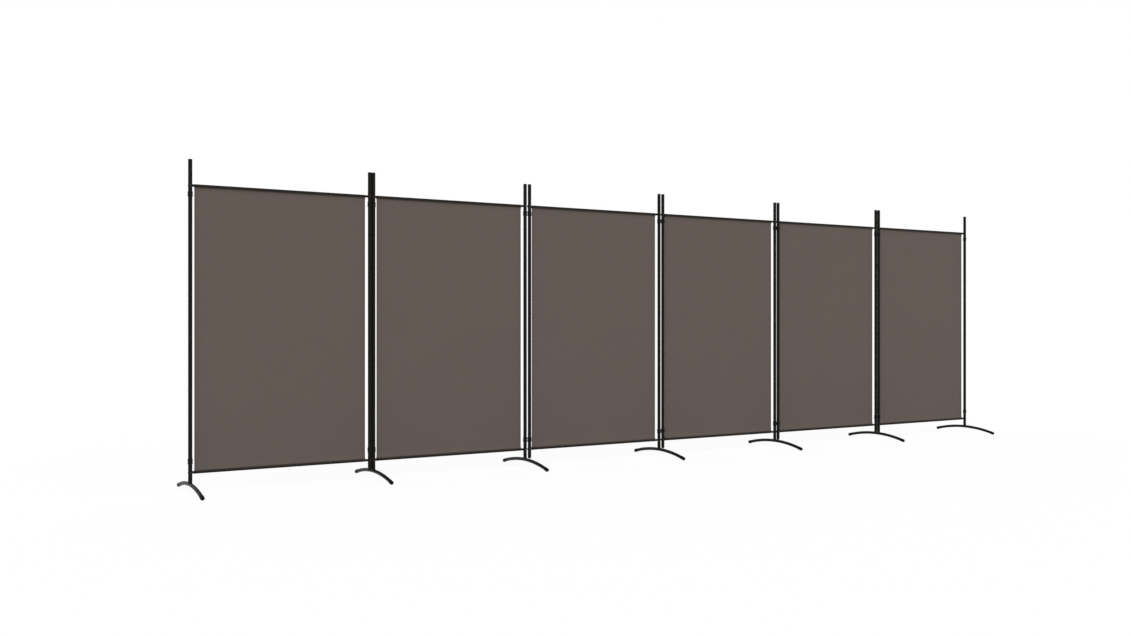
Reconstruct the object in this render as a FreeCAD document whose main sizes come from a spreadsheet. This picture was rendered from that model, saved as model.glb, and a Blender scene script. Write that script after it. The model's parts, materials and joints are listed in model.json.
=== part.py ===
from enum import IntEnum
import os

import FreeCAD
import Part
import Sketcher

# Six-panel fabric room divider, in millimetres.
# +X runs along the row from left to right, +Y to the back and +Z up.
# The origin lies on the floor under the middle of the row.

PANEL_COUNT = 6

# The main panel stands on two feet. Every other panel has a foot only at its outer post,
# and its inner post hangs in the hinge clips of the neighbour nearer to the main panel.
LEFT_OF_MAIN_COUNT = 1
MAIN_PANEL = LEFT_OF_MAIN_COUNT + 1

SIZES = {
    # Row
    "overall_height": 1800,
    "post_spacing": 1021,
    "hinge_spacing": 32.5,
    "first_hinge_spacing": 23.2,
    # Posts
    "post_diameter": 22,
    "post_wall": 1.2,
    "cap_height": 4,
    "cap_edge_height": 3,
    "cap_crown_diameter": 18.5,
    "cap_plug_length": 15,
    "end_plug_height": 11,
    "end_plug_tip_diameter": 15,
    "end_plug_length": 18,
    # Bars
    "bar_diameter": 14,
    "bar_wall": 1,
    "bottom_bar_height": 110,
    "top_bar_drop": 140,
    "bar_inset": 5,
    "bar_setback": 12,
    "bar_end_overhang": 8.5,
    "bar_end_chamfer": 2.5,
    "bar_plug_length": 25,
    # Bolts
    "bolt_diameter": 6,
    "bolt_head_diameter": 9,
    "bolt_crown_diameter": 5.5,
    "bolt_head_height": 0.8,
    "bolt_socket_diameter": 4.4,
    "bolt_socket_depth": 2.2,
    "bolt_thread_past_bar_axis": 4,
    # Cloth
    "cloth_margin": 24.5,
    "cloth_thickness": 0.6,
    "sleeve_clearance": 0.3,
    "sleeve_angle": 20,
    # Hinge clips
    "top_clip_drop": 48,
    "bottom_clip_rise": 62,
    "clip_length": 24,
    "clip_wall": 2,
    "clip_rim_width": 1.5,
    "clip_rim_thickness": 3.5,
    # Feet
    "foot_diameter": 21,
    "foot_span": 558,
    "foot_rise": 36,
    "weld_collar_rise": 6,
    "spigot_past_bolt": 20,
    "tip_wall": 0.8,
    "tip_length": 31,
    "tip_end_thickness": 5,
    "tip_chamfer": 3,
    "sole_depth": 1.6,
    # Fits
    "running_clearance": 0.05,
    "snug_clearance": 0.1,
}

# Radii
POST_RADIUS = "(Sizes.post_diameter / 2)"
POST_BORE_RADIUS = f"({POST_RADIUS} - Sizes.post_wall)"
PLUG_RADIUS = f"({POST_BORE_RADIUS} - Sizes.snug_clearance)"
POST_SEAT_RADIUS = f"({POST_RADIUS} + Sizes.snug_clearance)"
BAR_RADIUS = "(Sizes.bar_diameter / 2)"
BAR_PLUG_RADIUS = f"({BAR_RADIUS} - Sizes.bar_wall - Sizes.snug_clearance)"
BOLT_HOLE_RADIUS = "(Sizes.bolt_diameter / 2 + Sizes.snug_clearance)"
FOOT_RADIUS = "(Sizes.foot_diameter / 2)"
TIP_RADIUS = f"({FOOT_RADIUS} + Sizes.tip_wall)"
CLIP_RADIUS = f"({POST_RADIUS} + Sizes.clip_wall)"
CLIP_RIM_RADIUS = f"({CLIP_RADIUS} + Sizes.clip_rim_width)"
SLEEVE_BORE_RADIUS = f"({BAR_RADIUS} + Sizes.sleeve_clearance)"
SLEEVE_RADIUS = f"({SLEEVE_BORE_RADIUS} + Sizes.cloth_thickness)"

# The foot is an arc whose ends stand on the floor, so its radius and height follow from span and rise.
ARC_RADIUS = "(((Sizes.foot_span / 2) ^ 2 + Sizes.foot_rise ^ 2) / (2 * Sizes.foot_rise))"
FOOT_HALF_ANGLE = f"asin(Sizes.foot_span / 2 / {ARC_RADIUS})"
TIP_END_ANGLE = f"({FOOT_HALF_ANGLE} + Sizes.tip_end_thickness / {ARC_RADIUS} * 1 rad)"
TIP_ANGLE = f"(Sizes.tip_length / {ARC_RADIUS} * 1 rad)"
ARC_CENTRE_HEIGHT = f"(-Sizes.sole_depth - ({ARC_RADIUS} - {TIP_RADIUS}) * cos({TIP_END_ANGLE}))"
FOOT_CROWN_HEIGHT = f"({ARC_CENTRE_HEIGHT} + {ARC_RADIUS})"

# Heights and depths
POST_BOTTOM = f"({FOOT_CROWN_HEIGHT} + {FOOT_RADIUS} + Sizes.weld_collar_rise)"
POST_TOP = "(Sizes.overall_height - Sizes.cap_height)"
BAR_DEPTH = f"({POST_RADIUS} - Sizes.bar_inset + {BAR_RADIUS})"
BAR_HEIGHTS = {
    "bottom": "Sizes.bottom_bar_height",
    "top": "(Sizes.overall_height - Sizes.top_bar_drop)",
}
CLIP_HEIGHTS = {
    "bottom": f"({BAR_HEIGHTS['bottom']} + Sizes.bottom_clip_rise)",
    "top": f"({BAR_HEIGHTS['top']} - Sizes.top_clip_drop)",
}
BAR_SPACING = f"({BAR_HEIGHTS['top']} - {BAR_HEIGHTS['bottom']})"

# The posts of the first hinge stand closer together than those of the others.
RING_SPACINGS = ["Sizes.first_hinge_spacing"] + ["Sizes.hinge_spacing"] * (PANEL_COUNT - 2)
ROW_LENGTH = f"({PANEL_COUNT} * Sizes.post_spacing + {' + '.join(RING_SPACINGS)})"

# Turns of a master piece into the row's directions
UPRIGHT = FreeCAD.Rotation()
LYING_RIGHT = FreeCAD.Rotation(FreeCAD.Vector(0, 1, 0), 90)
LYING_BACK = FreeCAD.Rotation(FreeCAD.Vector(1, 0, 0), -90)
END_FOR_END = FreeCAD.Rotation(FreeCAD.Vector(0, 1, 0), 180)
BACK_TO_FRONT = FreeCAD.Rotation(FreeCAD.Vector(0, 0, 1), 180)
ARC_TO_DEPTH = FreeCAD.Rotation(FreeCAD.Vector(1, 1, 1), 120)
ARC_TO_FRONT = BACK_TO_FRONT.multiply(ARC_TO_DEPTH)

doc = FreeCAD.newDocument("room_divider")


class Datum(IntEnum):
    """The sketch's own axes. The start of its X axis is its origin."""

    X_AXIS = -1
    Y_AXIS = -2


class Point(IntEnum):
    """The points of a sketched curve."""

    START = 1
    END = 2
    CENTRE = 3


def fill_sheet():
    """Keep the driving dimensions in a spreadsheet, one named cell each."""
    sheet = doc.addObject("Spreadsheet::Sheet", "Sizes")
    for row, (alias, value) in enumerate(SIZES.items(), start=1):
        sheet.set(f"A{row}", alias)
        sheet.set(f"B{row}", str(value))
        sheet.setAlias(f"B{row}", alias)
    doc.recompute()


def number(expression):
    """The value of an expression on the sheet, as a plain number."""
    value = doc.Sizes.evalExpression(expression)
    return float(getattr(value, "Value", value))


def bind(item, expressions):
    for prop, expression in expressions.items():
        item.setExpression(prop, expression)
    return item


def primitive(kind, name, expressions, rotation=UPRIGHT):
    item = doc.addObject(kind, name)
    item.Placement.Rotation = rotation
    return bind(item, expressions)


def cylinder(name, radius, length, rotation=UPRIGHT, base=None):
    """A cylinder along the turned Z axis, whose base centre may be moved by x, y and z expressions."""
    sizes = {"Radius": radius, "Height": length}
    for axis, expression in (base or {}).items():
        sizes[f"Placement.Base.{axis}"] = expression
    return primitive("Part::Cylinder", name, sizes, rotation)


def arc_rod(name, radius, first_angle, angle):
    """A round rod bent to the foot's arc, drawn in the XY plane with its crown towards +Y."""
    sizes = {
        "Radius1": ARC_RADIUS,
        "Radius2": radius,
        "Angle3": angle,
        "Placement.Base.y": ARC_CENTRE_HEIGHT,
        "Placement.Rotation.Angle": first_angle,
    }
    return primitive("Part::Torus", name, sizes, FreeCAD.Rotation(FreeCAD.Vector(0, 0, 1), 1))


def joined(name, shapes):
    item = doc.addObject("Part::MultiFuse", name)
    item.Shapes = shapes
    return item


def cut(name, base, tool):
    item = doc.addObject("Part::Cut", name)
    item.Base = base
    item.Tool = tool
    return item


def new_body(name):
    return doc.addObject("PartDesign::Body", name)


def new_sketch(body, name, plane):
    sketch = body.newObject("Sketcher::SketchObject", f"{body.Name}_{name}")
    support = next(item for item in body.Origin.OriginFeatures if item.Role == plane)
    sketch.AttachmentSupport = [(support, "")]
    sketch.MapMode = "FlatFace"
    return sketch


def feature(body, kind, name, sketch, expressions):
    item = body.newObject(f"PartDesign::{kind}", f"{body.Name}_{name}")
    item.Profile = sketch
    return bind(item, expressions)


def constrain(sketch, kind, *references, expression=None):
    """Add one constraint, and tie its size to the sheet where it has one."""
    if expression is None:
        return sketch.addConstraint(Sketcher.Constraint(kind, *references))
    index = sketch.addConstraint(Sketcher.Constraint(kind, *references, number(expression)))
    sketch.setExpression(f"Constraints[{index}]", expression)
    return index


def pin_x(sketch, curve, point, x):
    """Hold a point of a curve at x from the sketch's origin. None means on the Y axis."""
    if x is None:
        constrain(sketch, "PointOnObject", curve, point, Datum.Y_AXIS)
    else:
        constrain(sketch, "DistanceX", Datum.X_AXIS, Point.START, curve, point, expression=x)


def pin_y(sketch, curve, point, y):
    """Hold a point of a curve at y from the sketch's origin. None means on the X axis."""
    if y is None:
        constrain(sketch, "PointOnObject", curve, point, Datum.X_AXIS)
    else:
        constrain(sketch, "DistanceY", Datum.X_AXIS, Point.START, curve, point, expression=y)


def position(x, y):
    return FreeCAD.Vector(number(x) if x else 0, number(y) if y else 0, 0)


def add_circle(sketch, radius, x=None, y=None):
    circle = Part.Circle(position(x, y), FreeCAD.Vector(0, 0, 1), number(radius))
    index = sketch.addGeometry(circle)
    constrain(sketch, "Radius", index, expression=radius)
    pin_x(sketch, index, Point.CENTRE, x)
    pin_y(sketch, index, Point.CENTRE, y)


def add_arc(sketch, start, end, centre, radius):
    """An arc from start to end, counter-clockwise. Its centre is held across its chord."""
    circle = Part.Circle(position(*centre), FreeCAD.Vector(0, 0, 1), number(radius))
    curve = Part.ArcOfCircle(circle, circle.parameter(start), circle.parameter(end))
    index = sketch.addGeometry(curve)
    chord = end - start
    if abs(chord.y) > abs(chord.x):
        pin_x(sketch, index, Point.CENTRE, centre[0])
    else:
        pin_y(sketch, index, Point.CENTRE, centre[1])
    return index


def add_outline(sketch, points, arcs=None):
    """A closed outline through points given as expressions, counter-clockwise.

    The stretch after a point is a straight line, or the arc of a centre and radius given for it."""
    corners = [position(x, y) for x, y in points]
    curves = []
    for index, (start, end) in enumerate(zip(corners, corners[1:] + corners[:1])):
        if arcs and index in arcs:
            curves.append(add_arc(sketch, start, end, *arcs[index]))
        else:
            curves.append(sketch.addGeometry(Part.LineSegment(start, end)))
    for curve, following in zip(curves, curves[1:] + curves[:1]):
        constrain(sketch, "Coincident", curve, Point.END, following, Point.START)
    for curve, (x, y) in zip(curves, points):
        pin_x(sketch, curve, Point.START, x)
        pin_y(sketch, curve, Point.START, y)


def turned(name, points):
    """A body turned from an outline of radius and height about its Z axis."""
    body = new_body(name)
    sketch = new_sketch(body, "outline", "XZ_Plane")
    add_outline(sketch, points)
    turn = feature(body, "Revolution", "turn", sketch, {})
    turn.ReferenceAxis = (sketch, ["V_Axis"])
    turn.Angle = 360
    return body


def make_post():
    """Round steel tube, drilled from front to back for the two bar bolts."""
    body = new_body("post")
    ring = new_sketch(body, "ring", "XY_Plane")
    add_circle(ring, POST_RADIUS)
    add_circle(ring, POST_BORE_RADIUS)
    feature(body, "Pad", "tube", ring, {"Length": f"{POST_TOP} - {POST_BOTTOM}"})
    holes = new_sketch(body, "holes", "XZ_Plane")
    for height in BAR_HEIGHTS.values():
        add_circle(holes, BOLT_HOLE_RADIUS, y=f"{height} - {POST_BOTTOM}")
    drilled = feature(body, "Pocket", "bolt_holes", holes, {})
    drilled.Type = "ThroughAll"
    drilled.SideType = "Symmetric"
    return body


def make_post_cap():
    """Plug with a low crowned head that closes the post's top. Z is measured from the tube's end."""
    return turned(
        "post_cap",
        [
            (None, "-Sizes.cap_plug_length"),
            (PLUG_RADIUS, "-Sizes.cap_plug_length"),
            (PLUG_RADIUS, None),
            (POST_RADIUS, None),
            (POST_RADIUS, "Sizes.cap_edge_height"),
            ("Sizes.cap_crown_diameter / 2", "Sizes.cap_height"),
            (None, "Sizes.cap_height"),
        ],
    )


def make_end_plug():
    """Tapered plug that closes the lower end of a post without a foot."""
    return turned(
        "end_plug",
        [
            (None, "-Sizes.end_plug_height"),
            ("Sizes.end_plug_tip_diameter / 2", "-Sizes.end_plug_height"),
            (POST_RADIUS, "-Sizes.end_plug_height / 2"),
            (POST_RADIUS, None),
            (PLUG_RADIUS, None),
            (PLUG_RADIUS, "Sizes.end_plug_length"),
            (None, "Sizes.end_plug_length"),
        ],
    )


def make_bar():
    """Round steel tube between the two posts of a panel, standing on Z."""
    body = new_body("bar")
    ring = new_sketch(body, "ring", "XY_Plane")
    add_circle(ring, BAR_RADIUS)
    add_circle(ring, f"{BAR_RADIUS} - Sizes.bar_wall")
    feature(body, "Pad", "tube", ring, {"Length": "Sizes.post_spacing - 2 * Sizes.bar_setback"})
    return body


def rim_index(shape, centre):
    """The number of the round edge whose circle lies about this centre."""
    for index, edge in enumerate(shape.Edges, start=1):
        round_edge = isinstance(edge.Curve, Part.Circle)
        if round_edge and edge.Curve.Center.isEqual(centre, number("Sizes.running_clearance")):
            return index
    raise ValueError("no round edge about that centre")


def make_bar_end():
    """Moulded end of a bar: a plug in the tube, a head hollowed to the post's back and a blind bolt hole.

    The bar's axis is X, into the panel, and the bolt's axis Y, with the post on the side of -Y."""
    overhang = "Sizes.bar_end_overhang"
    head_length = f"{overhang} + Sizes.bar_setback"
    start = {"x": f"-{overhang}"}
    head = cylinder("bar_end_head", BAR_RADIUS, head_length, LYING_RIGHT, start)
    doc.recompute()
    nose = rim_index(head.Shape, FreeCAD.Vector(-number(overhang), 0, 0))
    slope = number("Sizes.bar_end_chamfer")
    sloped = doc.addObject("Part::Chamfer", "bar_end_sloped")
    sloped.Base = head
    sloped.Edges = [(nose, slope, slope)]
    plug_length = f"{head_length} + Sizes.bar_plug_length - Sizes.bar_end_chamfer"
    plug_start = {"x": f"-{overhang} + Sizes.bar_end_chamfer"}
    plug = cylinder("bar_end_plug", BAR_PLUG_RADIUS, plug_length, LYING_RIGHT, plug_start)
    solid = joined("bar_end_solid", [sloped, plug])
    seat_base = {"y": f"-{BAR_DEPTH}", "z": "-Sizes.bar_diameter"}
    seat = cylinder("bar_end_seat", POST_SEAT_RADIUS, "2 * Sizes.bar_diameter", UPRIGHT, seat_base)
    hole_depth = f"{BAR_DEPTH} + Sizes.bolt_thread_past_bar_axis + Sizes.snug_clearance"
    hole_start = {"y": f"-{BAR_DEPTH}"}
    hole = cylinder("bar_end_hole", BOLT_HOLE_RADIUS, hole_depth, LYING_BACK, hole_start)
    return cut("bar_end", solid, joined("bar_end_cuts", [seat, hole]))


def make_bolt():
    """Bolt along Y from the front: a low head seated round the post, a shank into the bar's end
    and a hexagon socket, whose diameter is measured across its corners."""
    cone_sizes = {
        "Radius1": "Sizes.bolt_crown_diameter / 2",
        "Radius2": "Sizes.bolt_head_diameter / 2",
        "Height": "Sizes.bolt_head_height",
        "Placement.Base.y": f"-{POST_RADIUS} - Sizes.bolt_head_height",
    }
    cone = primitive("Part::Cone", "bolt_cone", cone_sizes, LYING_BACK)
    front = {"y": f"-{POST_RADIUS}"}
    skirt = cylinder("bolt_skirt", "Sizes.bolt_head_diameter / 2", POST_RADIUS, LYING_BACK, front)
    seat_base = {"z": "-Sizes.bolt_head_diameter"}
    seat = cylinder("bolt_seat", POST_SEAT_RADIUS, "2 * Sizes.bolt_head_diameter", UPRIGHT, seat_base)
    head = cut("bolt_head", joined("bolt_head_solid", [cone, skirt]), seat)
    shank_length = f"{POST_RADIUS} + {BAR_DEPTH} + Sizes.bolt_thread_past_bar_axis"
    shank_base = {"y": f"-{POST_RADIUS} - Sizes.bolt_head_height / 2"}
    shank_length = f"{shank_length} + Sizes.bolt_head_height / 2"
    shank = cylinder("bolt_shank", "Sizes.bolt_diameter / 2", shank_length, LYING_BACK, shank_base)
    socket_sizes = {
        "Circumradius": "Sizes.bolt_socket_diameter / 2",
        "Height": "Sizes.bolt_socket_depth + Sizes.bolt_head_height",
        "Placement.Base.y": f"-{POST_RADIUS} - 2 * Sizes.bolt_head_height",
    }
    socket = primitive("Part::Prism", "bolt_socket", socket_sizes, LYING_BACK)
    return cut("bolt", joined("bolt_solid", [head, shank]), socket)


def make_cloth():
    """Stretched cloth with a sewn sleeve round each bar, drawn in section and run along the panel.

    In the section X is depth and Y height, both from the axis of the bottom bar. The two plies of
    a sleeve leave the bar at the sleeve angle and meet in the single sheet."""
    body = new_body("cloth")
    section = new_sketch(body, "section", "YZ_Plane")
    half = "Sizes.cloth_thickness / 2"
    lean = "cos(Sizes.sleeve_angle)"
    lift = "sin(Sizes.sleeve_angle)"
    seam = f"({SLEEVE_RADIUS} - {half} * {lean}) / {lift}"
    top = BAR_SPACING
    bottom_axis = (None, None)
    top_axis = (None, top)
    add_outline(
        section,
        [
            (f"-{SLEEVE_RADIUS} * {lean}", f"{SLEEVE_RADIUS} * {lift}"),
            (f"{SLEEVE_RADIUS} * {lean}", f"{SLEEVE_RADIUS} * {lift}"),
            (half, seam),
            (half, f"{top} - {seam}"),
            (f"{SLEEVE_RADIUS} * {lean}", f"{top} - {SLEEVE_RADIUS} * {lift}"),
            (f"-{SLEEVE_RADIUS} * {lean}", f"{top} - {SLEEVE_RADIUS} * {lift}"),
            (f"-{half}", f"{top} - {seam}"),
            (f"-{half}", seam),
        ],
        {0: (bottom_axis, SLEEVE_RADIUS), 4: (top_axis, SLEEVE_RADIUS)},
    )
    add_outline(
        section,
        [
            (f"-{SLEEVE_BORE_RADIUS} * {lean}", f"{SLEEVE_BORE_RADIUS} * {lift}"),
            (f"{SLEEVE_BORE_RADIUS} * {lean}", f"{SLEEVE_BORE_RADIUS} * {lift}"),
            (None, f"{SLEEVE_BORE_RADIUS} / {lift}"),
        ],
        {0: (bottom_axis, SLEEVE_BORE_RADIUS)},
    )
    add_outline(
        section,
        [
            (f"{SLEEVE_BORE_RADIUS} * {lean}", f"{top} - {SLEEVE_BORE_RADIUS} * {lift}"),
            (f"-{SLEEVE_BORE_RADIUS} * {lean}", f"{top} - {SLEEVE_BORE_RADIUS} * {lift}"),
            (None, f"{top} - {SLEEVE_BORE_RADIUS} / {lift}"),
        ],
        {0: (top_axis, SLEEVE_BORE_RADIUS)},
    )
    feature(body, "Pad", "length", section, {"Length": "Sizes.post_spacing - 2 * Sizes.cloth_margin"})
    return body


def make_rim_plate(name, spacing):
    """The flat plate round the two post axes of a hinge, which lie on X, a ring spacing apart."""
    body = new_body(name)
    plate = new_sketch(body, "outline", "XY_Plane")
    radius = CLIP_RIM_RADIUS
    add_outline(
        plate,
        [(None, f"-{radius}"), (spacing, f"-{radius}"), (spacing, radius), (None, radius)],
        {1: ((spacing, None), radius), 3: ((None, None), radius)},
    )
    feature(body, "Pad", "thickness", plate, {"Length": "Sizes.clip_rim_thickness"})
    return body


def make_clip(name, spacing):
    """Double-ring hinge clip: two sleeves between two rim plates, open between the sleeves.

    The ring at the origin grips the post with the foot, and the other carries the post that turns."""
    length = "Sizes.clip_length"
    low = f"-{length} / 2"
    rim = make_rim_plate(f"{name}_rim", spacing)
    rims = [placed(rim, z=low), placed(rim, z=f"{length} / 2 - Sizes.clip_rim_thickness")]
    ring_places = {"grip": {"z": low}, "turn": {"x": spacing, "z": low}}
    bore_radii = {"grip": POST_SEAT_RADIUS, "turn": f"({POST_RADIUS} + Sizes.running_clearance)"}
    sleeves = [
        cylinder(f"{name}_{ring}_sleeve", CLIP_RADIUS, length, base=place)
        for ring, place in ring_places.items()
    ]
    bores = [
        cylinder(f"{name}_{ring}_bore", bore_radii[ring], length, base=place)
        for ring, place in ring_places.items()
    ]
    return cut(name, joined(f"{name}_solid", rims + sleeves), joined(f"{name}_bores", bores))


def make_end_ring():
    """Single ring with the same sleeve and rims as a hinge clip, on the outer post at each end."""
    rim = "Sizes.clip_length / 2"
    sleeve = "(Sizes.clip_length / 2 - Sizes.clip_rim_thickness)"
    return turned(
        "end_ring",
        [
            (POST_SEAT_RADIUS, f"-{rim}"),
            (CLIP_RIM_RADIUS, f"-{rim}"),
            (CLIP_RIM_RADIUS, f"-{sleeve}"),
            (CLIP_RADIUS, f"-{sleeve}"),
            (CLIP_RADIUS, sleeve),
            (CLIP_RIM_RADIUS, sleeve),
            (CLIP_RIM_RADIUS, rim),
            (POST_SEAT_RADIUS, rim),
        ],
    )


def make_foot():
    """Arched round bar with a welded collar that carries the post and a spigot inside it.

    The lower bar bolt goes through the spigot and locks the foot to the post."""
    first_angle = f"90 deg - {FOOT_HALF_ANGLE}"
    arch = arc_rod("foot_arch", FOOT_RADIUS, first_angle, f"2 * {FOOT_HALF_ANGLE}")
    crown = {"y": FOOT_CROWN_HEIGHT}
    collar_height = f"{FOOT_RADIUS} + Sizes.weld_collar_rise"
    collar = cylinder("foot_collar", POST_RADIUS, collar_height, LYING_BACK, crown)
    bolt_height = BAR_HEIGHTS["bottom"]
    spigot_height = f"{bolt_height} + Sizes.spigot_past_bolt - {FOOT_CROWN_HEIGHT}"
    spigot = cylinder("foot_spigot", PLUG_RADIUS, spigot_height, LYING_BACK, crown)
    hole_start = {"x": f"-{POST_RADIUS}", "y": bolt_height}
    hole = cylinder("foot_bolt_hole", BOLT_HOLE_RADIUS, "Sizes.post_diameter", LYING_RIGHT, hole_start)
    return cut("foot", joined("foot_welded", [arch, collar, spigot]), hole)


def make_foot_tip():
    """Moulded cap over one end of the foot, bent to the same arc and cut flat where it stands."""
    first_angle = f"90 deg - {TIP_END_ANGLE}"
    outside = arc_rod("tip_outside", TIP_RADIUS, first_angle, TIP_ANGLE)
    doc.recompute()
    end_angle = f"(90 deg - {TIP_END_ANGLE})"
    end_x = number(f"{ARC_RADIUS} * cos({end_angle})")
    end_y = number(f"{ARC_CENTRE_HEIGHT} + {ARC_RADIUS} * sin({end_angle})")
    end_rim = rim_index(outside.Shape, FreeCAD.Vector(end_x, end_y, 0))
    slope = number("Sizes.tip_chamfer")
    sloped = doc.addObject("Part::Chamfer", "tip_sloped")
    sloped.Base = outside
    sloped.Edges = [(end_rim, slope, slope)]
    bore_radius = f"({FOOT_RADIUS} + Sizes.snug_clearance)"
    bore = arc_rod("tip_bore", bore_radius, f"90 deg - {FOOT_HALF_ANGLE}", TIP_ANGLE)
    floor_sizes = {
        "Length": "2 * Sizes.tip_length",
        "Width": "2 * Sizes.tip_length",
        "Height": f"4 * {TIP_RADIUS}",
        "Placement.Base.x": "Sizes.foot_span / 2 - Sizes.tip_length",
        "Placement.Base.y": "-2 * Sizes.tip_length",
        "Placement.Base.z": f"-2 * {TIP_RADIUS}",
    }
    floor = primitive("Part::Box", "tip_floor", floor_sizes)
    return cut("foot_tip", sloped, joined("tip_cuts", [bore, floor]))


def placed(master, x="0", y="0", z="0", rotation=UPRIGHT):
    """One copy of a master piece, turned and put in its place in the panel."""
    item = doc.addObject("Part::Compound", f"placed_{master.Name}")
    item.Links = [master]
    item.Placement.Rotation = rotation
    return bind(item, {"Placement.Base.x": x, "Placement.Base.y": y, "Placement.Base.z": z})


def node(label, items, x):
    """One named sub-part: a group of placed pieces, carried along the row to its panel."""
    group = doc.addObject("Part::Compound", label)
    group.Label = label
    group.Links = items
    return bind(group, {"Placement.Base.x": x})


def panel_start(panel):
    """Where a panel's left post stands along the row."""
    before = [f"Sizes.post_spacing + {spacing}" for spacing in RING_SPACINGS[: panel - 1]]
    return f"({' + '.join(before + [f'-{ROW_LENGTH} / 2'])})"


def footed_posts(panel):
    """The posts of a panel that stand on a foot, by side and place in the panel."""
    posts = {"left": "0", "right": "Sizes.post_spacing"}
    if panel < MAIN_PANEL:
        del posts["right"]
    if panel > MAIN_PANEL:
        del posts["left"]
    return posts


def make_panels():
    """The nodes of every panel: frame, cloth, mouldings, bolts and the tips of its feet."""
    post = placed(make_post(), z=POST_BOTTOM)
    bar = make_bar()
    bars = {
        side: placed(bar, "Sizes.bar_setback", BAR_DEPTH, height, LYING_RIGHT)
        for side, height in BAR_HEIGHTS.items()
    }
    cloth = placed(make_cloth(), "Sizes.cloth_margin", BAR_DEPTH, BAR_HEIGHTS["bottom"])
    bolt = make_bolt()
    bar_end = make_bar_end()
    cap = make_post_cap()
    end_plug = make_end_plug()
    end_ring = make_end_ring()
    tip = make_foot_tip()
    post_places = {"left": "0", "right": "Sizes.post_spacing"}
    inward = {"left": UPRIGHT, "right": END_FOR_END}
    bolts = [placed(bolt, x, z=z) for x in post_places.values() for z in BAR_HEIGHTS.values()]
    bar_ends = [
        placed(bar_end, x, BAR_DEPTH, z, inward[side])
        for side, x in post_places.items()
        for z in BAR_HEIGHTS.values()
    ]
    caps = [placed(cap, x, z=POST_TOP) for x in post_places.values()]
    nodes = []
    for panel in range(1, PANEL_COUNT + 1):
        start = panel_start(panel)
        name = f"panel_{panel}"
        feet = footed_posts(panel)
        hanging = [x for side, x in post_places.items() if side not in feet]
        fittings = bar_ends + caps + [placed(end_plug, x, z=POST_BOTTOM) for x in hanging]
        if panel in (1, PANEL_COUNT):
            outer = post_places["left"] if panel == 1 else post_places["right"]
            fittings += [placed(end_ring, outer, z=height) for height in CLIP_HEIGHTS.values()]
        tips = [placed(tip, x, rotation=turn) for x in feet.values() for turn in (ARC_TO_DEPTH, ARC_TO_FRONT)]
        nodes.append(node(f"{name}_left_post", [post], start))
        nodes.append(node(f"{name}_right_post", [post], f"{start} + Sizes.post_spacing"))
        nodes.append(node(f"{name}_bottom_bar", [bars["bottom"]], start))
        nodes.append(node(f"{name}_top_bar", [bars["top"]], start))
        nodes.append(node(f"{name}_fabric", [cloth], start))
        nodes.append(node(f"{name}_fittings", fittings, start))
        nodes.append(node(f"{name}_bolts", bolts, start))
        nodes.append(node(f"{name}_foot_tips", tips, start))
    return nodes


def make_feet():
    """The feet, numbered from left to right."""
    foot = placed(make_foot(), rotation=ARC_TO_DEPTH)
    places = [
        f"{panel_start(panel)} + {x}"
        for panel in range(1, PANEL_COUNT + 1)
        for x in footed_posts(panel).values()
    ]
    return [node(f"foot_{index}", [foot], x) for index, x in enumerate(places, start=1)]


def make_hinges():
    """A lower and an upper clip at each pair of posts, gripping the one that has the foot."""
    clips = {
        "Sizes.first_hinge_spacing": make_clip("close_clip", "Sizes.first_hinge_spacing"),
        "Sizes.hinge_spacing": make_clip("clip", "Sizes.hinge_spacing"),
    }
    nodes = []
    for hinge, spacing in enumerate(RING_SPACINGS, start=1):
        if hinge < MAIN_PANEL:
            turn, post = BACK_TO_FRONT, panel_start(hinge + 1)
        else:
            turn, post = UPRIGHT, f"{panel_start(hinge)} + Sizes.post_spacing"
        pair = [placed(clips[spacing], z=height, rotation=turn) for height in CLIP_HEIGHTS.values()]
        nodes.append(node(f"hinge_{hinge}_clips", pair, post))
    return nodes


def check(nodes):
    for item in doc.Objects:
        if "Invalid" in item.State or "Error" in item.State:
            raise RuntimeError(f"{item.Name} failed to rebuild")
    for item in nodes:
        if item.Shape.isNull() or not item.Shape.isValid():
            raise RuntimeError(f"{item.Label} has no valid shape")


def main():
    fill_sheet()
    nodes = make_panels() + make_feet() + make_hinges()
    doc.recompute()
    check(nodes)
    os.makedirs("parts", exist_ok=True)
    for item in nodes:
        Part.makeCompound(item.Shape.Solids).exportStep(f"parts/{item.Label}.step")
        print(item.Label, len(item.Shape.Solids))


main()
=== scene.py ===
"""Fabric room divider: six stretched cloth panels between black tube posts, on low arched feet."""

import json
import math

import bmesh
import bpy
from mathutils import Matrix, Vector

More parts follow.
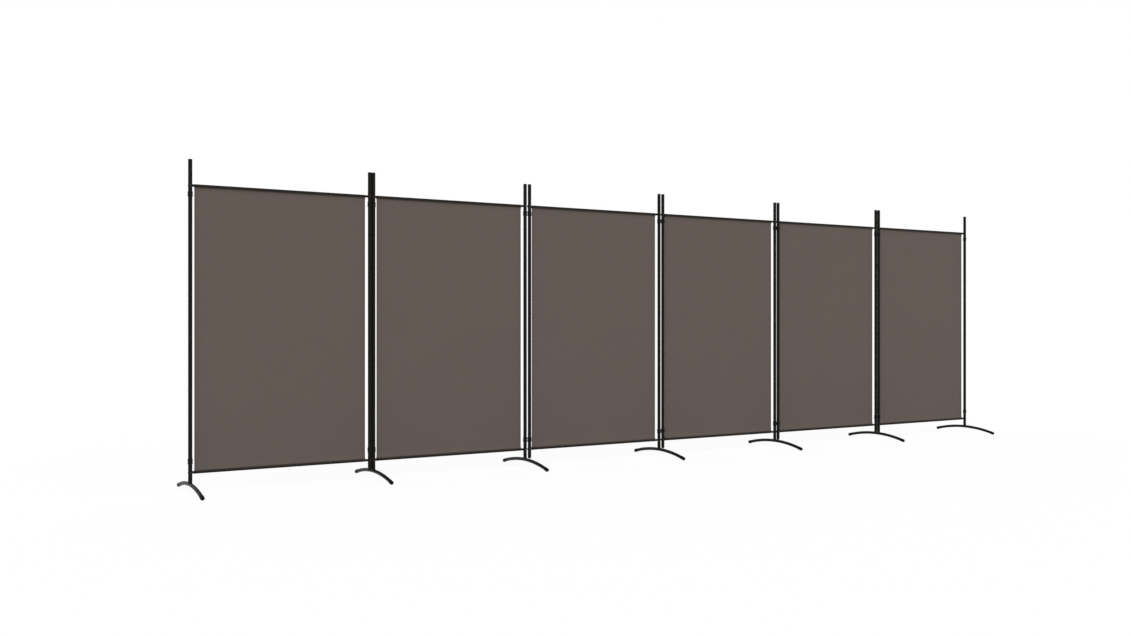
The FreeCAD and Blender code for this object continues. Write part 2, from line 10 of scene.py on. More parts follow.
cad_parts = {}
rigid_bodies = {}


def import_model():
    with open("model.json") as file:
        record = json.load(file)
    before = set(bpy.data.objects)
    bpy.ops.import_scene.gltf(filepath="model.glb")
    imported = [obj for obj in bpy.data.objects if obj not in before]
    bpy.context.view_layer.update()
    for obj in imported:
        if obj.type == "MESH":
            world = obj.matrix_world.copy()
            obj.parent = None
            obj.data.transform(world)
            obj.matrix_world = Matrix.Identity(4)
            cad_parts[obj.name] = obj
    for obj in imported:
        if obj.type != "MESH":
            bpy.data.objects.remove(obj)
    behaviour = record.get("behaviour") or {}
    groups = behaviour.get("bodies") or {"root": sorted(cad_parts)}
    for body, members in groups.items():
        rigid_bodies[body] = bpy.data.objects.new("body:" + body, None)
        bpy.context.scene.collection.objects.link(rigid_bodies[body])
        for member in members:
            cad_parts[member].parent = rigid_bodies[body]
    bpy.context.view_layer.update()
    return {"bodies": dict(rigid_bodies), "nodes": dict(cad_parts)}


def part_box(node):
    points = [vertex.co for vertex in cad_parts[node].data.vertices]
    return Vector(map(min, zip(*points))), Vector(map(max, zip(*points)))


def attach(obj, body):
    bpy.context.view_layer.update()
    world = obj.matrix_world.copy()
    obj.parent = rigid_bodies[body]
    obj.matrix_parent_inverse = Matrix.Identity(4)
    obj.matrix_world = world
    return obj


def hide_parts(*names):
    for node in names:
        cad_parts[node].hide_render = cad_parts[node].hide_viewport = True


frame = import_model()

bl_info = {
    "name": "Fabric room divider",
    "version": (1, 0, 0),
    "blender": (4, 5, 0),
    "location": "View3D > Sidebar > Divider",
    "description": "Dresses the room divider: cloth panels, paint, mouldings and a studio",
    "category": "Object",
}

PANELS = tuple(sorted(frame["bodies"]))

# Camera and floor: picture size in pixels, sensor in millimetres, distances in metres
PHOTO_WIDTH = 1131
PHOTO_HEIGHT = 636
SENSOR_WIDTH = 36
VIEW_DISTANCE = 500
FLOOR_ROUGHNESS = 0.9

# Places of the colour sockets on a Mix node
MIX_FACTOR = 0
MIX_FIRST = 6
MIX_SECOND = 7
MIX_RESULT = 2
NOISE_ROUGHNESS = 0.55

# Folds of the cloth: the gap between plies in thicknesses, and the angle past which an edge is sharp
FOLD_SLACK = 1.3
FOLD_ANGLE = math.radians(35)

# Weave: shares of the ribs and knots in the height of the yarns
YARN_MEAN = 0.5
YARN_RIBS = 0.25
YARN_KNOTS = 0.2

# Slubs and clouds: blobs per metre, a slub's squeeze across and along its yarn, and its range of noise
SLUB_SCALE = 70
SLUB_ACROSS = 8
SLUB_ALONG = 0.15
SLUB_RANGE = (0.44, 0.62)
CLOUD_SCALE = 2.5

# Stitches: the share of each that shows, and where the thread's edge fades, in metres
STITCH_SHOWN = 0.72
THREAD_FADE = (0.0002, 0.0005)

# Bar showing through the cloth, with painted shade fading onto the plies past it: start and end of that fade
# in metres, and more at the top
SHADE_START = 0.001
SHADE_END = 0.015
TOP_PAINTED_SHADE_EXTRA = 0.003

# Shares of each pattern in the cloth's colour, roughness and relief, and the relief's depth in metres
SLUB_TONE = 0.5
YARN_TONE = 0.3
CLOUD_TONE = 0.4
CLOTH_ROUGHNESS = 0.82
YARN_ROUGHNESS = 0.12
YARN_RELIEF = 0.45
SLUB_RELIEF = 0.2
STITCH_RELIEF = 0.35
CLOTH_RELIEF_DEPTH = 0.00035
CLOTH_GLOSS = 0.06

# Powder coat: blobs per metre of orange peel, dull patches and specks, and what each adds
PEEL_SCALE = 650
PEEL_DEPTH = 0.00006
PEEL_ROUGHNESS = 0.06
PATCH_SCALE = 9
PATCH_TONE = 0.35
PATCH_ROUGHNESS = 0.12
SPECK_SCALE = 420
SPECK_RANGE = (0.74, 0.80)
SPECK_TONE = 0.4

# Moulded plastic: blobs per metre of the grain and of the flow marks, and what each adds
GRAIN_SCALE = 1500
GRAIN_DEPTH = 0.00005
GRAIN_ROUGHNESS = 0.14
FLOW_SCALE = 35
FLOW_SQUEEZE = (1, 1, 0.3)
FLOW_ROUGHNESS = 0.06
MOULDING_ROUGHNESS = 0.46
MOULDING_GLOSS = 0.1

# Bolts: blobs per metre of the turning marks and stains, and what they add
MARK_SCALE = 900
MARK_SQUEEZE = (1, 1, 4)
MARK_DEPTH = 0.00002
MARK_ROUGHNESS = 0.16
STAIN_SCALE = 160
BOLT_ROUGHNESS = 0.28
BOLT_METAL = 0.85

# Foot tips: blobs per metre of pores and dust smears, what they add, and the dust's height in metres
PORE_SCALE = 1100
PORE_DEPTH = 0.00005
PORE_ROUGHNESS = 0.15
SMEAR_SCALE = 60
SMEAR_SQUEEZE = (1, 1, 0.5)
DUST_HEIGHT = (0.001, 0.007)
DUST_ROUGHNESS = 0.15
TIP_ROUGHNESS = 0.55
TIP_GLOSS = 0.08


def tint(name, description, default):
    """A colour that a user may change."""
    return bpy.props.FloatVectorProperty(
        name=name, description=description, subtype="COLOR", size=3, min=0, max=1, default=default
    )


def metres(name, description, default):
    """A length that a user may change."""
    return bpy.props.FloatProperty(name=name, description=description, unit="LENGTH", default=default)


def degrees(name, description, default):
    """An angle that a user may change, given in degrees."""
    return bpy.props.FloatProperty(
        name=name, description=description, subtype="ANGLE", default=math.radians(default)
    )


def share(name, description, default):
    """A share from 0 to 1 that a user may change."""
    return bpy.props.FloatProperty(
        name=name, description=description, subtype="FACTOR", min=0, max=1, default=default
    )


def count(name, description, default, least=1):
    """A number of faces that a user may change."""
    return bpy.props.IntProperty(name=name, description=description, default=default, min=least)


class DividerCloth(bpy.types.PropertyGroup):
    """Sizes and colours of the stretched cloth."""

    colour: tint("Cloth colour", "Colour of the woven cloth", (0.1042, 0.0851, 0.0746))
    slub_colour: tint(
        "Slub colour", "Colour of the thicker yarns in the weave", (0.1208, 0.0989, 0.0877)
    )
    # Colour where the black bar shows through its sleeve, also used as painted shade on the plies next to
    # the bar
    bar_and_painted_shade_colour: tint(
        "Bar shade",
        "Colour of the cloth where the black bar shows through its sleeve",
        (0.020, 0.017, 0.015),
    )
    thread_colour: tint("Thread colour", "Colour of the sewing thread", (0.075, 0.062, 0.055))
    thickness: metres("Thickness", "Thickness of the cloth", 0.0006)
    sleeve_angle: degrees("Sleeve angle", "Angle at which each ply leaves the bar", 20)
    sleeve_clearance: metres("Sleeve clearance", "Room between a bar and its sleeve", 0.0003)
    turning: metres("Turning", "Cloth behind the sheet, past the seam of a sleeve", 0.012)
    hem_width: metres("Hem width", "Width of the folded hem on each side", 0.011)
    seam_inset: metres("Seam inset", "Distance of a stitched row from the edge of its ply", 0.0015)
    stitch_length: metres("Stitch length", "Length of one sewn stitch", 0.003)
    yarn_spacing: metres("Yarn spacing", "Distance between neighbouring yarns", 0.0011)
    columns: count("Columns", "Faces across a sheet", 40)
    rows: count("Rows", "Faces up a sheet between its seams", 60)
    ply_steps: count("Ply steps", "Faces between a bar and its seam", 4)
    sleeve_steps: count("Sleeve steps", "Faces round a bar", 20, least=4)


class DividerFinish(bpy.types.PropertyGroup):
    """Colours and gloss of the painted tube, mouldings, bolts and foot tips."""

    paint_colour: tint("Paint colour", "Powder coat of posts, bars and feet", (0.0072, 0.0060, 0.0044))
    paint_worn_colour: tint(
        "Worn paint colour", "Powder coat where it is dull or flecked", (0.0110, 0.0094, 0.0075)
    )
    post_gloss: share("Post gloss", "Specular level of the coat on posts and bars", 0.08)
    post_roughness: share("Post roughness", "Least roughness of the coat on posts and bars", 0.42)
    foot_gloss: share("Foot gloss", "Specular level of the coat on the feet", 0.08)
    foot_roughness: share("Foot roughness", "Least roughness of the coat on the feet", 0.30)
    moulding_colour: tint(
        "Moulding colour", "Plastic of the clips, caps and bar ends", (0.0042, 0.0039, 0.0035)
    )
    moulding_flow_colour: tint(
        "Moulding flow colour",
        "Slightly paler plastic where it flowed in the mould",
        (0.0062, 0.0058, 0.0052),
    )
    bolt_colour: tint("Bolt colour", "Blackened steel of the bolts", (0.022, 0.021, 0.020))
    bolt_bright_colour: tint(
        "Bright bolt colour", "Steel of the bolts where the blackening is thin", (0.060, 0.057, 0.053)
    )
    tip_colour: tint("Tip colour", "Rubber of the foot tips", (0.0050, 0.0048, 0.0045))
    dust_colour: tint("Dust colour", "Floor dust on the lower edges of the tips", (0.030, 0.028, 0.026))


class DividerStage(bpy.types.PropertyGroup):
    """Camera, floor and lights."""

    floor_colour: tint("Floor colour", "Plain pale floor", (0.93, 0.93, 0.93))
    floor_size: metres("Floor size", "Side of the floor", 80)
    floor_gap: metres("Floor gap", "How far the floor lies under the feet", 0.0002)
    floor_whiteness: share("Floor whiteness", "Share of plain white where the floor is seen", 0.93)
    camera_place: bpy.props.FloatVectorProperty(
        name="Camera place",
        description="Where the camera stands",
        subtype="TRANSLATION",
        size=3,
        default=(-4.4793, -6.084, 0.929),
    )
    camera_turn: degrees("Camera turn", "Turn of the camera to the right of straight ahead", 31.35)
    focal_pixels: bpy.props.FloatProperty(
        name="Focal length", description="Focal length in pixels of the picture", default=1094.19
    )
    horizon_row: bpy.props.FloatProperty(
        name="Horizon row", description="Row of the picture at the camera's height", default=320.78
    )
    sky_light: bpy.props.FloatProperty(
        name="Sky light", description="Strength of the even light from all round", default=0.8
    )
    key_strength: bpy.props.FloatProperty(
        name="Key light", description="Strength of the soft sun in front", default=1.2
    )
    key_spread: degrees("Key spread", "Width of the soft sun as seen from the screen", 70)
    key_turn: bpy.props.FloatVectorProperty(
        name="Key turn",
        description="Turn of the soft sun",
        subtype="EULER",
        size=3,
        default=(math.radians(40), 0, math.radians(-18)),
    )


class Value:
    """A number of a material's node tree, with Python's operators."""

    def __init__(self, tree, socket):
        self.tree = tree
        self.socket = socket

    def maths(self, operation, *operands):
        """The result of a Math node on values or plain numbers."""
        node = self.tree.nodes.new("ShaderNodeMath")
        node.operation = operation
        for place, operand in zip(node.inputs, operands):
            if isinstance(operand, Value):
                self.tree.links.new(operand.socket, place)
            else:
                place.default_value = operand
        return Value(self.tree, node.outputs[0])

    def __add__(self, other):
        return self.maths("ADD", self, other)

    __radd__ = __add__

    def __mul__(self, other):
        return self.maths("MULTIPLY", self, other)

    __rmul__ = __mul__

    def __sub__(self, other):
        return self.maths("SUBTRACT", self, other)

    def __rsub__(self, other):
        return self.maths("SUBTRACT", other, self)

    def __truediv__(self, other):
        return self.maths("DIVIDE", self, other)

    def __lt__(self, other):
        return self.maths("LESS_THAN", self, other)

    def __gt__(self, other):
        return self.maths("GREATER_THAN", self, other)

    def __abs__(self):
        return self.maths("ABSOLUTE", self)

    def sine(self):
        return self.maths("SINE", self)

    def fraction(self):
        return self.maths("FRACT", self)

    def smaller(self, other):
        return self.maths("MINIMUM", self, other)

    def larger(self, other):
        return self.maths("MAXIMUM", self, other)


class Finish:
    """A material and the nodes that make it."""

    def __init__(self, name):
        self.material = bpy.data.materials.new(name)
        self.material.use_nodes = True
        self.tree = self.material.node_tree
        self.shader = self.tree.nodes["Principled BSDF"]

    def node(self, kind, settings=None, **sockets):
        """A node of that kind: its settings first, then values or links for its sockets by name."""
        made = self.tree.nodes.new(kind)
        for key, value in (settings or {}).items():
            setattr(made, key, value)
        for key, value in sockets.items():
            self.feed(made.inputs[key.replace("_", " ")], value)
        return made

    def feed(self, socket, value):
        """Link or set one socket."""
        if isinstance(value, Value):
            value = value.socket
        if isinstance(value, bpy.types.NodeSocket):
            self.tree.links.new(value, socket)
        elif socket.type == "RGBA" and len(value) == 3:
            socket.default_value = (*value, 1)
        else:
            socket.default_value = value

    def shade(self, **values):
        """Values or links for the shader's own sockets."""
        for key, value in values.items():
            self.feed(self.shader.inputs[key.replace("_", " ")], value)

    def number(self, node, output=0):
        """A node's output as a value."""
        return Value(self.tree, node.outputs[output])

    def place(self):
        """The point's place on the object at rest."""
        return self.node("ShaderNodeTexCoord").outputs["Object"]

    def noise(self, scale, detail=2.0, squeeze=(1, 1, 1), vector=None):
        """Noise from 0 to 1 with blobs of about 1 / scale metres, squeezed so many times along each axis."""
        mapped = self.node("ShaderNodeMapping", Vector=vector or self.place(), Scale=squeeze)
        made = self.node(
            "ShaderNodeTexNoise",
            Vector=mapped.outputs[0],
            Scale=scale,
            Detail=detail,
            Roughness=NOISE_ROUGHNESS,
        )
        return self.number(made)

    def mixed(self, part, first, second):
        """A colour between two, by the second's part from 0 to 1."""
        made = self.node("ShaderNodeMix", {"data_type": "RGBA", "clamp_factor": True})
        self.feed(made.inputs[MIX_FACTOR], part)
        self.feed(made.inputs[MIX_FIRST], first)
        self.feed(made.inputs[MIX_SECOND], second)
        return made.outputs[MIX_RESULT]

    def eased(self, value, low, high):
        """0 below low, 1 above high and smooth between."""
        smooth = {"interpolation_type": "SMOOTHSTEP"}
        made = self.node("ShaderNodeMapRange", smooth, Value=value, From_Min=low, From_Max=high)
        return self.number(made)

    def bumped(self, height, depth):
        """Bump the surface by a height from 0 to 1, depth metres deep."""
        made = self.node("ShaderNodeBump", Strength=1.0, Distance=depth, Height=height)
        self.shade(Normal=made.outputs[0])


class WorldFinish(Finish):
    """The world's nodes, made as a material's are."""

    def __init__(self, name):
        self.world = bpy.data.worlds.new(name)
        self.world.use_nodes = True
        self.tree = self.world.node_tree
        self.shader = self.tree.nodes["Background"]


def new_piece(name, shape, material):
    """An object at the origin from a finished bmesh."""
    mesh = bpy.data.meshes.new(name)
    shape.to_mesh(mesh)
    shape.free()
    mesh.materials.append(material)
    piece = bpy.data.objects.new(name, mesh)
    bpy.context.scene.collection.objects.link(piece)
    return piece


def paint_nodes(material, *endings):
    """Put a material on every CAD node whose name ends in one of the endings."""
    found = [piece for name, piece in frame["nodes"].items() if name.endswith(endings)]
    if not found:
        raise RuntimeError(f"no node ends in {endings}")
    for piece in found:
        piece.data.materials.clear()
        piece.data.materials.append(material)


def bar_axis(node):
    """A bar's middle line as depth and height, and its radius."""
    low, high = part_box(node)
    return (low.y + high.y) / 2, (low.z + high.z) / 2, (high.z - low.z) / 2


class ClothCut:
    """The sizes of one panel's cloth: from its end behind the top bar to its end behind the bottom bar.

    Lengths along the cut are taken from its nearer end: sleeve_middle lies halfway round a bar, and seam
    is where the two plies of a sleeve meet."""

    def __init__(self, panel, cloth):
        low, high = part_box(f"{panel}_fabric")
        self.left = low.x
        self.right = high.x
        self.depth, self.top, bar_radius = bar_axis(f"{panel}_top_bar")
        self.bottom = bar_axis(f"{panel}_bottom_bar")[1]
        self.radius = bar_radius + cloth.sleeve_clearance + cloth.thickness / 2
        self.wrap = math.pi + 2 * cloth.sleeve_angle
        self.seam_drop = self.radius / math.sin(cloth.sleeve_angle)
        self.ply = self.radius / math.tan(cloth.sleeve_angle)
        self.half_wrap = self.radius * self.wrap / 2
        self.sleeve_middle = cloth.turning + self.ply + self.half_wrap
        self.seam = self.sleeve_middle + self.half_wrap + self.ply
        self.half_width = (self.right - self.left) / 2
        self.length = 2 * self.seam + self.top - self.bottom - 2 * self.seam_drop
        self.fold_gap = FOLD_SLACK * cloth.thickness


def cloth_finish(cloth, cut):
    """Plain woven cloth with slubs, dark where the bars show through with painted shade fading onto the
    plies past each bar, and sewn seams and hems.

    The UV map holds metres: u across the cut from its middle, v along it from its middle."""
    made = Finish("woven_cloth")
    run = made.node("ShaderNodeUVMap", {"uv_map": "cut"}).outputs[0]
    parts = made.node("ShaderNodeSeparateXYZ", Vector=run)
    across = made.number(parts, "X")
    along = made.number(parts, "Y")
    from_end = cut.length / 2 - abs(along)
    from_side = abs(cut.half_width - abs(across))

    turn = 2 * math.pi / cloth.yarn_spacing
    warp = (across * turn).sine()
    weft = (along * turn).sine()
    yarns = YARN_MEAN + YARN_RIBS * (warp + weft) + YARN_KNOTS * (warp * weft)
    upright_slubs = made.noise(SLUB_SCALE, squeeze=(SLUB_ACROSS, SLUB_ALONG, 1), vector=run)
    level_slubs = made.noise(SLUB_SCALE, squeeze=(SLUB_ALONG, SLUB_ACROSS, 1), vector=run)
    slubs = made.eased((upright_slubs + level_slubs) / 2, *SLUB_RANGE)
    cloud = made.noise(CLOUD_SCALE, vector=run)

    seam_line = abs(from_end - cut.seam)
    turning_line = abs(from_end - cloth.turning + cloth.seam_inset)
    hem_line = abs(from_side - cloth.hem_width + cloth.seam_inset)
    level_thread = 1 - made.eased(seam_line.smaller(turning_line), *THREAD_FADE)
    upright_thread = 1 - made.eased(hem_line, *THREAD_FADE)
    level_dash = (across / cloth.stitch_length).fraction() < STITCH_SHOWN
    upright_dash = (along / cloth.stitch_length).fraction() < STITCH_SHOWN
    between_seams = from_end > cut.seam
    stitch = (level_thread * level_dash).larger(upright_thread * upright_dash * between_seams)

    # Dark where the bar shows through its sleeve, with painted shade fading onto the plies past it, further
    # at the top
    from_wrap = abs(from_end - cut.sleeve_middle) - cut.half_wrap
    shade_end = SHADE_END + TOP_PAINTED_SHADE_EXTRA * (along < 0)
    show_through_and_shade = 1 - made.eased(from_wrap, SHADE_START, shade_end)
    tone = SLUB_TONE * slubs + YARN_TONE * yarns + CLOUD_TONE * cloud
    woven = made.mixed(tone, cloth.colour, cloth.slub_colour)
    shaded = made.mixed(show_through_and_shade, woven, cloth.bar_and_painted_shade_colour)
    made.shade(
        Base_Color=made.mixed(stitch, shaded, cloth.thread_colour),
        Roughness=CLOTH_ROUGHNESS + YARN_ROUGHNESS * yarns,
        Specular_IOR_Level=CLOTH_GLOSS,
    )
    relief = YARN_RELIEF * yarns + SLUB_RELIEF * slubs + STITCH_RELIEF * stitch
    made.bumped(relief, CLOTH_RELIEF_DEPTH)
    return made.material


def paint_finish(name, finish, gloss, least_roughness):
    """Black powder coat: a fine orange peel, duller in patches, with a few pale specks."""
    made = Finish(name)
    peel = made.noise(PEEL_SCALE)
    patches = made.noise(PATCH_SCALE, detail=3.0)
    specks = made.eased(made.noise(SPECK_SCALE, detail=1.0), *SPECK_RANGE)
    tone = made.mixed(PATCH_TONE * patches, finish.paint_colour, finish.paint_worn_colour)
    made.shade(
        Base_Color=made.mixed(SPECK_TONE * specks, tone, finish.paint_worn_colour),
        Roughness=least_roughness + PATCH_ROUGHNESS * patches + PEEL_ROUGHNESS * peel,
        Specular_IOR_Level=gloss,
    )
    made.bumped(peel, PEEL_DEPTH)
    return made.material


def moulding_finish(finish):
    """Black moulded plastic with a fine spark-eroded grain."""
    made = Finish("grained_plastic")
    grain = made.noise(GRAIN_SCALE)
    flow = made.noise(FLOW_SCALE, squeeze=FLOW_SQUEEZE)
    made.shade(
        Base_Color=made.mixed(flow, finish.moulding_colour, finish.moulding_flow_colour),
        Roughness=MOULDING_ROUGHNESS + GRAIN_ROUGHNESS * grain + FLOW_ROUGHNESS * flow,
        Specular_IOR_Level=MOULDING_GLOSS,
    )
    made.bumped(grain, GRAIN_DEPTH)
    return made.material


def bolt_finish(finish):
    """Blackened steel with turning marks."""
    made = Finish("blackened_steel")
    marks = made.noise(MARK_SCALE, squeeze=MARK_SQUEEZE)
    stain = made.noise(STAIN_SCALE)
    made.shade(
        Base_Color=made.mixed(stain, finish.bolt_colour, finish.bolt_bright_colour),
        Roughness=BOLT_ROUGHNESS + MARK_ROUGHNESS * marks,
        Metallic=BOLT_METAL,
    )
    made.bumped(marks, MARK_DEPTH)
    return made.material


def tip_finish(finish):
    """Black rubber, pale with floor dust along its lowest edge."""
    made = Finish("dusty_rubber")
    parts = made.node("ShaderNodeSeparateXYZ", Vector=made.place())
    height = made.number(parts, "Z")
    pores = made.noise(PORE_SCALE)
    smears = made.noise(SMEAR_SCALE, detail=3.0, squeeze=SMEAR_SQUEEZE)
    dust = (1 - made.eased(height, *DUST_HEIGHT)) * smears
    made.shade(
        Base_Color=made.mixed(dust, finish.tip_colour, finish.dust_colour),
        Roughness=TIP_ROUGHNESS + PORE_ROUGHNESS * pores + DUST_ROUGHNESS * dust,
        Specular_IOR_Level=TIP_GLOSS,
    )
    made.bumped(pores, PORE_DEPTH)
    return made.material


def cloth_shape(cut, cloth):
    """The sheet of one panel, sewn round its bars and hemmed at the sides, with no thickness yet."""
    shape = bmesh.new()
    run = shape.verts.layers.float.new("run")
    reach = shape.verts.layers.float.new("reach")
    behind = cut.depth + cut.fold_gap
    upper_seam = cut.top - cut.seam_drop
    lower_seam = cut.bottom + cut.seam_drop
    beside = cut.radius * math.cos(cloth.sleeve_angle)
    below = cut.radius * math.sin(cloth.sleeve_angle)
    start = (cut.left, behind, upper_seam - cloth.turning)
    tail = bmesh.ops.create_vert(shape, co=start)["vert"][0]

    def drawn_to(depth, height, steps=1):
        """Draw the section's line on to a point in so many equal steps."""
        nonlocal tail
        step = (Vector((cut.left, depth, height)) - tail.co) / steps
        for _ in range(steps):
            grown = bmesh.ops.extrude_vert_indiv(shape, verts=[tail])["verts"]
            bmesh.ops.translate(shape, verts=grown, vec=step)
            grown[0][run] = tail[run] + step.length
            tail = grown[0]

    def wound_round(height):
        """Wind the section's line round a bar."""
        nonlocal tail
        step = Matrix.Rotation(cut.wrap / cloth.sleeve_steps, 3, "X")
        middle = Vector((cut.left, cut.depth, height))
        for _ in range(cloth.sleeve_steps):
            grown = bmesh.ops.extrude_vert_indiv(shape, verts=[tail])["verts"]
            bmesh.ops.rotate(shape, cent=middle, matrix=step, verts=grown)
            grown[0][run] = tail[run] + cut.radius * cut.wrap / cloth.sleeve_steps
            tail = grown[0]

    drawn_to(behind, upper_seam)
    drawn_to(cut.depth + beside, cut.top - below, cloth.ply_steps)
    wound_round(cut.top)
    drawn_to(cut.depth, upper_seam, cloth.ply_steps)
    drawn_to(cut.depth, lower_seam, cloth.rows)
    drawn_to(cut.depth - beside, cut.bottom + below, cloth.ply_steps)
    wound_round(cut.bottom)
    drawn_to(behind, lower_seam, cloth.ply_steps)
    drawn_to(behind, lower_seam + cloth.turning)

    grown = bmesh.ops.extrude_edge_only(shape, edges=shape.edges[:])["geom"]
    far_side = [part for part in grown if isinstance(part, bmesh.types.BMVert)]
    bmesh.ops.translate(shape, verts=far_side, vec=(cut.right - cut.left, 0, 0))
    level = [
        edge
        for edge in shape.edges
        if abs(edge.verts[0].co.x - edge.verts[1].co.x) > cut.half_width
    ]
    bmesh.ops.subdivide_edges(shape, edges=level, cuts=cloth.columns - 1, use_grid_fill=True)
    middle = (cut.left + cut.right) / 2
    for vert in shape.verts:
        vert[reach] = vert.co.x - middle
    fold_hems(shape, cut, cloth)
    return shape


def fold_hems(shape, cut, cloth):
    """Fold a hem to the back along both sides of a sheet, between its seams."""
    run = shape.verts.layers.float["run"]
    reach = shape.verts.layers.float["reach"]
    outer = cut.half_width - cut.fold_gap
    first = cut.seam - cut.fold_gap
    last = cut.length - cut.seam + cut.fold_gap
    for side in (-1, 1):
        rim = [
            edge
            for edge in shape.edges
            if all(side * vert[reach] > outer and first < vert[run] < last for vert in edge.verts)
        ]
        for move in (Vector((0, cut.fold_gap, 0)), Vector((-side * cloth.hem_width, 0, 0))):
            grown = bmesh.ops.extrude_edge_only(shape, edges=rim)["geom"]
            folded = [part for part in grown if isinstance(part, bmesh.types.BMVert)]
            rim = [part for part in grown if isinstance(part, bmesh.types.BMEdge)]
            bmesh.ops.translate(shape, verts=folded, vec=move)
            for vert in folded:
                vert[reach] += side * move.length


def unwrap_cut(shape, cut):
    """Lay the UV map out as the flat cut, in metres from its middle."""
    run = shape.verts.layers.float["run"]
    reach = shape.verts.layers.float["reach"]
    flat = shape.loops.layers.uv.new("cut")
    for face in shape.faces:
        face.smooth = True
        for loop in face.loops:
            loop[flat].uv = (loop.vert[reach], loop.vert[run] - cut.length / 2)


def settle_modifiers(piece):
    """Make a piece's modifiers part of its mesh, and keep its folds sharp."""
    bpy.context.view_layer.update()
    graph = bpy.context.evaluated_depsgraph_get()
    worked = piece.evaluated_get(graph)
    mesh = bpy.data.meshes.new_from_object(worked, preserve_all_data_layers=True, depsgraph=graph)
    piece.modifiers.clear()
    old = piece.data
    piece.data = mesh
    bpy.data.meshes.remove(old)
    mesh.name = piece.name
    mesh.set_sharp_from_angle(angle=FOLD_ANGLE)


class DIVIDER_OT_cloth(bpy.types.Operator):
    """Stretch a sewn cloth between the bars of each panel."""

    bl_idname = "divider.cloth"
    bl_label = "Cloth panels"

    def execute(self, context):
        cloth = context.scene.divider_cloth
        material = cloth_finish(cloth, ClothCut(PANELS[0], cloth))
        for panel in PANELS:
            cut = ClothCut(panel, cloth)
            shape = cloth_shape(cut, cloth)
            unwrap_cut(shape, cut)
            bmesh.ops.recalc_face_normals(shape, faces=shape.faces[:])
            piece = new_piece(f"{panel}_cloth", shape, material)
            wall = piece.modifiers.new("thickness", "SOLIDIFY")
            wall.thickness = cloth.thickness
            wall.offset = 0
            settle_modifiers(piece)
            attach(piece, panel)
            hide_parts(f"{panel}_fabric")
            width = 2 * (cut.half_width + cut.fold_gap + cloth.hem_width)
        return {"FINISHED"}


class DIVIDER_OT_frame(bpy.types.Operator):
    """Powder-coat the posts, bars and feet."""

    bl_idname = "divider.frame"
    bl_label = "Painted frame"

    def execute(self, context):
        finish = context.scene.divider_finish
        matt = paint_finish("matt_powder_coat", finish, finish.post_gloss, finish.post_roughness)
        satin = paint_finish("satin_powder_coat", finish, finish.foot_gloss, finish.foot_roughness)
        feet = [name for name in frame["nodes"] if name.startswith("foot_")]
        paint_nodes(matt, "_post", "_bar")
        paint_nodes(satin, *feet)
        return {"FINISHED"}


class DIVIDER_OT_fittings(bpy.types.Operator):
    """Finish the mouldings, bolts and foot tips."""

    bl_idname = "divider.fittings"
    bl_label = "Fittings"

    def execute(self, context):
        finish = context.scene.divider_finish
        paint_nodes(moulding_finish(finish), "_fittings", "_clips")
        paint_nodes(bolt_finish(finish), "_bolts")
        paint_nodes(tip_finish(finish), "_foot_tips")
        return {"FINISHED"}


def add_camera(stage):
    """A level camera, whose shift puts the horizon at its row of the picture."""
    camera = bpy.data.objects.new("camera", bpy.data.cameras.new("camera"))
    bpy.context.scene.collection.objects.link(camera)
    camera.location = stage.camera_place
    camera.rotation_euler = (math.pi / 2, 0, -stage.camera_turn)
    camera.data.sensor_width = SENSOR_WIDTH
    camera.data.lens = stage.focal_pixels / PHOTO_WIDTH * SENSOR_WIDTH
    camera.data.shift_y = (stage.horizon_row - PHOTO_HEIGHT / 2) / PHOTO_WIDTH
    camera.data.clip_end = VIEW_DISTANCE
    bpy.context.scene.camera = camera


def seen_directly(made):
    """1 for rays that show the background itself: from the camera, in a gloss or through glass."""
    path = made.node("ShaderNodeLightPath")
    camera = made.number(path, "Is Camera Ray")
    gloss = made.number(path, "Is Glossy Ray")
    glass = made.number(path, "Is Transmission Ray")
    return camera.larger(gloss).larger(glass)


def add_floor(stage):
    """A pale floor that keeps a faint shadow of the screen and is white elsewhere."""
    shape = bmesh.new()
    bmesh.ops.create_grid(shape, x_segments=1, y_segments=1, size=stage.floor_size / 2)
    bmesh.ops.translate(shape, verts=shape.verts[:], vec=(0, 0, -stage.floor_gap))
    made = Finish("pale_floor")
    made.shade(Base_Color=stage.floor_colour, Roughness=FLOOR_ROUGHNESS, Specular_IOR_Level=0.0)
    glow = made.node("ShaderNodeEmission", Color=(1, 1, 1), Strength=1.0)
    both = made.node("ShaderNodeMixShader")
    made.feed(both.inputs[0], seen_directly(made) * stage.floor_whiteness)
    made.feed(both.inputs[1], made.shader.outputs[0])
    made.feed(both.inputs[2], glow.outputs[0])
    made.feed(made.tree.nodes["Material Output"].inputs["Surface"], both.outputs[0])
    floor = new_piece("floor", shape, made.material)


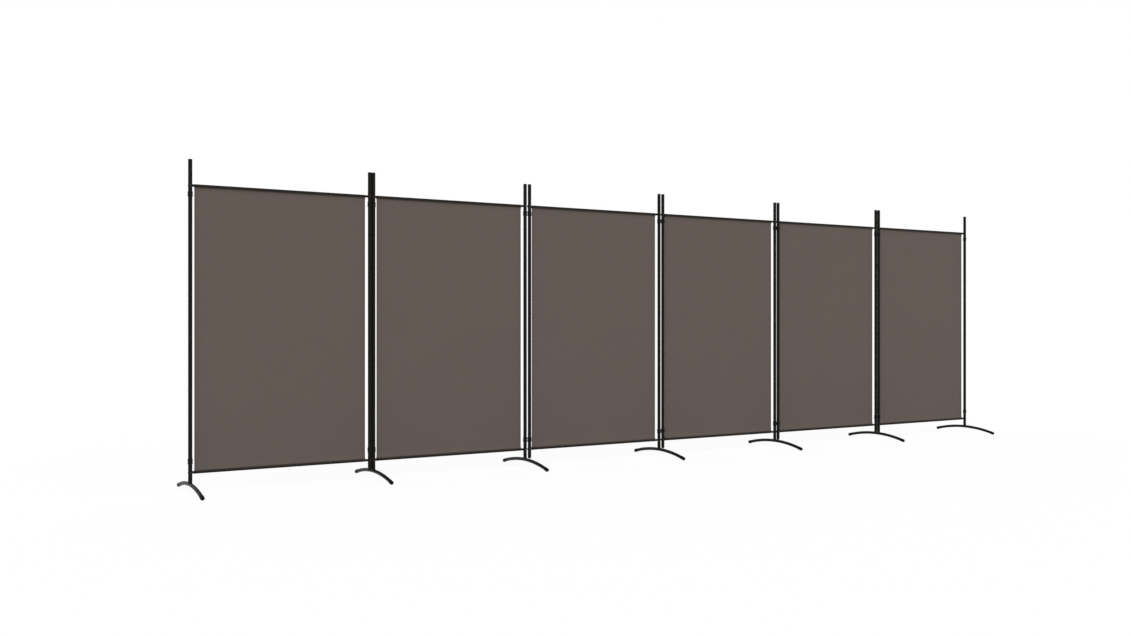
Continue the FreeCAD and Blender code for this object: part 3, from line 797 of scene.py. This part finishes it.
def add_light(stage):
    """Even light from all round, white where it is seen, and a broad soft sun from the front."""
    made = WorldFinish("studio_light")
    shown = seen_directly(made)
    made.shade(Color=(1, 1, 1), Strength=stage.sky_light + (1 - stage.sky_light) * shown)
    bpy.context.scene.world = made.world
    lamp = bpy.data.lights.new("soft_key", "SUN")
    lamp.energy = stage.key_strength
    lamp.angle = stage.key_spread
    key = bpy.data.objects.new("soft_key", lamp)
    bpy.context.scene.collection.objects.link(key)
    key.rotation_euler = stage.key_turn


class DIVIDER_OT_stage(bpy.types.Operator):
    """Set up the camera, floor and light."""

    bl_idname = "divider.stage"
    bl_label = "Stage"

    def execute(self, context):
        stage = context.scene.divider_stage
        context.scene.view_settings.view_transform = "Standard"
        add_camera(stage)
        add_floor(stage)
        add_light(stage)
        return {"FINISHED"}


class DIVIDER_PT_panel(bpy.types.Panel):
    """Lists what dresses the divider."""

    bl_idname = "DIVIDER_PT_panel"
    bl_label = "Fabric room divider"
    bl_space_type = "VIEW_3D"
    bl_region_type = "UI"
    bl_category = "Divider"

    def draw(self, context):
        for kind in OPERATORS:
            self.layout.operator(kind.bl_idname)
        for name in GROUPS:
            group = getattr(context.scene, name)
            box = self.layout.box()
            for key in group.__annotations__:
                box.prop(group, key)


GROUPS = {
    "divider_cloth": DividerCloth,
    "divider_finish": DividerFinish,
    "divider_stage": DividerStage,
}
OPERATORS = (DIVIDER_OT_stage, DIVIDER_OT_cloth, DIVIDER_OT_frame, DIVIDER_OT_fittings)


def register():
    for kind in (*GROUPS.values(), *OPERATORS, DIVIDER_PT_panel):
        bpy.utils.register_class(kind)
    for name, kind in GROUPS.items():
        setattr(bpy.types.Scene, name, bpy.props.PointerProperty(type=kind))


def unregister():
    for name in GROUPS:
        delattr(bpy.types.Scene, name)
    for kind in (DIVIDER_PT_panel, *reversed(OPERATORS), *GROUPS.values()):
        bpy.utils.unregister_class(kind)


def main():
    register()
    bpy.ops.divider.stage()
    bpy.ops.divider.cloth()
    bpy.ops.divider.frame()
    bpy.ops.divider.fittings()


if __name__ == "__main__":
    main()
